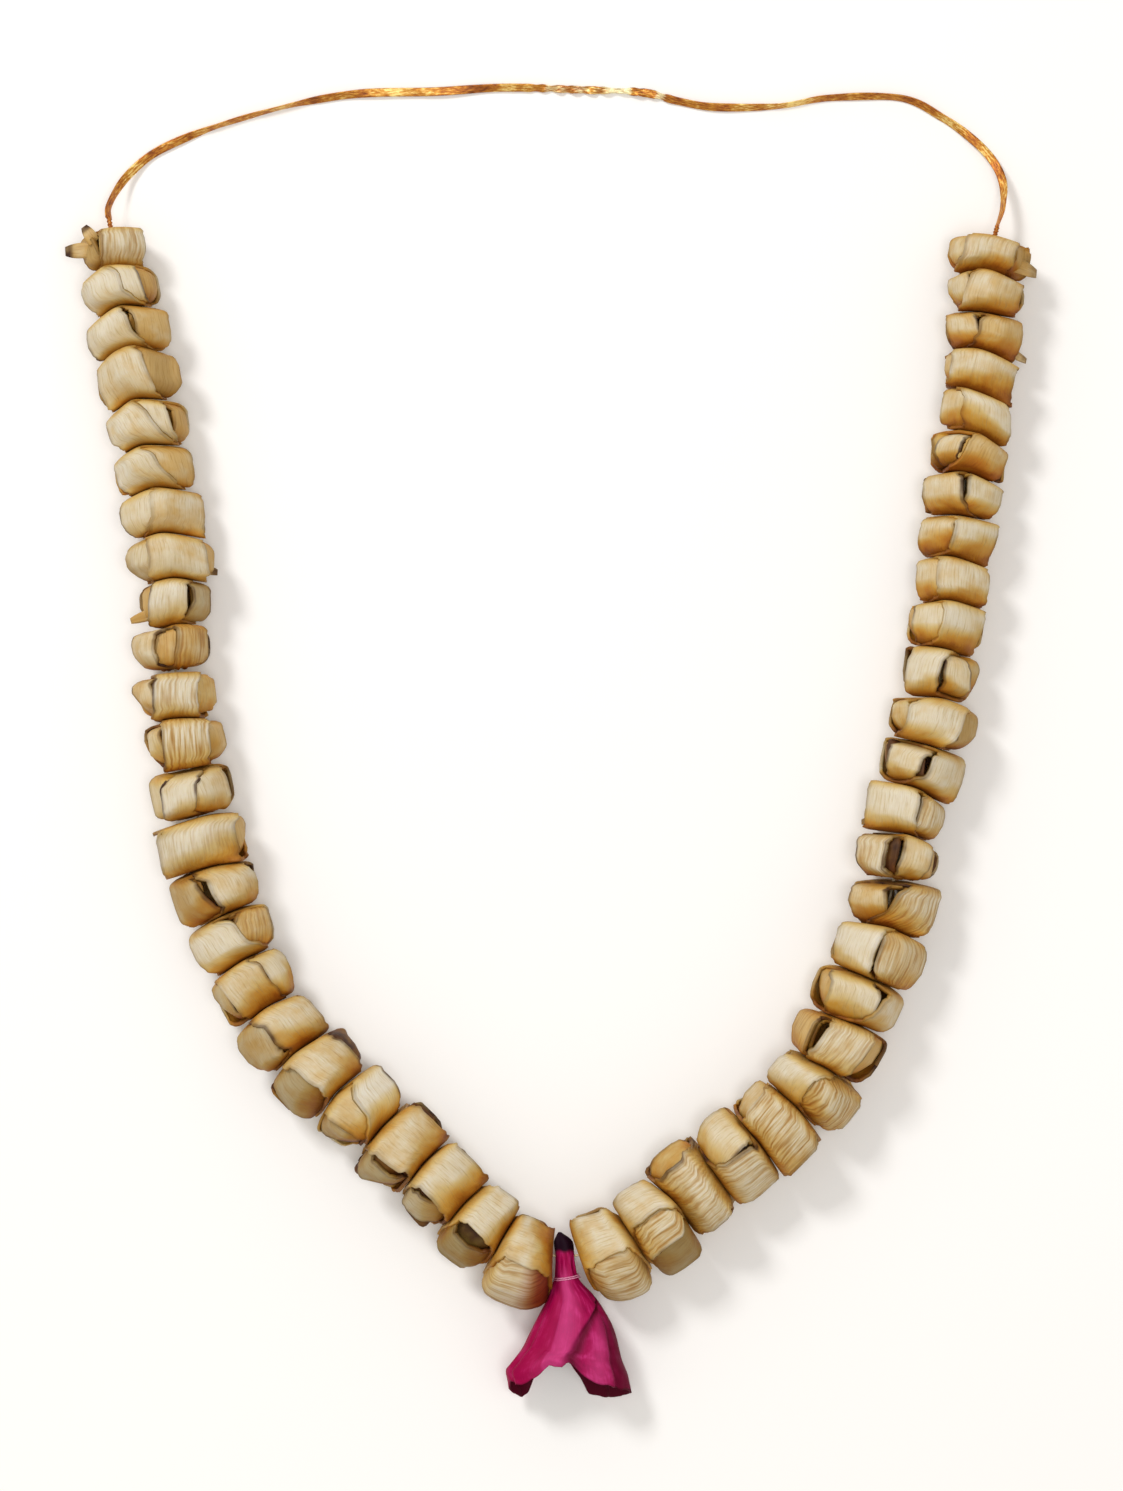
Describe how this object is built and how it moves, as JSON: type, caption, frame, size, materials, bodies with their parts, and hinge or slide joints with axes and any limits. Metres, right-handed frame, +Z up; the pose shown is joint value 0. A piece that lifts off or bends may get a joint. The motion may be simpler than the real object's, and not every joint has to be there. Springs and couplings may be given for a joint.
{
  "type": "sandalwood garland",
  "caption": "Neck garland of wound sandalwood-shaving beads on a thread, with a dyed shaving flower at the bottom and a flat gold-thread neck ribbon, lying on a surface.",
  "frame": {"origin": "on the surface, under the middle of the beads, thread and flower together", "axes": "+Z up off the surface; +Y from the flower towards the neck ribbon; +X to the right strand, seen from above"},
  "size_m": [0.329, 0.4564, 0.0322],
  "materials": {
    "shaving": "raw planed sandalwood shaving, pale cream, matt, thin enough to glow orange where light comes through",
    "dyed_shaving": "wood shaving dyed magenta, slightly glossy, near black at its gathered tip",
    "pink_thread": "pale pink sewing thread",
    "cotton_thread": "undyed cotton thread",
    "gold_ribbon": "flat woven ribbon with metallic gold thread"
  },
  "bodies": {
    "root": {"bead_left_01": "shaving", "bead_left_02": "shaving", "bead_left_03": "shaving", "bead_left_04": "shaving", "bead_left_05": "shaving", "bead_left_06": "shaving", "bead_left_07": "shaving", "bead_left_08": "shaving", "bead_left_09": "shaving", "bead_left_10": "shaving", "bead_left_11": "shaving", "bead_left_12": "shaving", "bead_left_13": "shaving", "bead_left_14": "shaving", "bead_left_15": "shaving", "bead_left_16": "shaving", "bead_left_17": "shaving", "bead_left_18": "shaving", "bead_left_19": "shaving", "bead_left_20": "shaving", "bead_left_21": "shaving", "bead_left_22": "shaving", "bead_left_23": "shaving", "bead_left_24": "shaving", "bead_right_01": "shaving", "bead_right_02": "shaving", "bead_right_03": "shaving", "bead_right_04": "shaving", "bead_right_05": "shaving", "bead_right_06": "shaving", "bead_right_07": "shaving", "bead_right_08": "shaving", "bead_right_09": "shaving", "bead_right_10": "shaving", "bead_right_11": "shaving", "bead_right_12": "shaving", "bead_right_13": "shaving", "bead_right_14": "shaving", "bead_right_15": "shaving", "bead_right_16": "shaving", "bead_right_17": "shaving", "bead_right_18": "shaving", "bead_right_19": "shaving", "bead_right_20": "shaving", "bead_right_21": "shaving", "bead_right_22": "shaving", "bead_right_23": "shaving", "bead_right_24": "shaving", "bead_right_25": "shaving", "flower_bell": "dyed_shaving", "flower_tie": "pink_thread", "thread": "cotton_thread", "neck_ribbon": "gold_ribbon"}
  },
  "joints": []
}
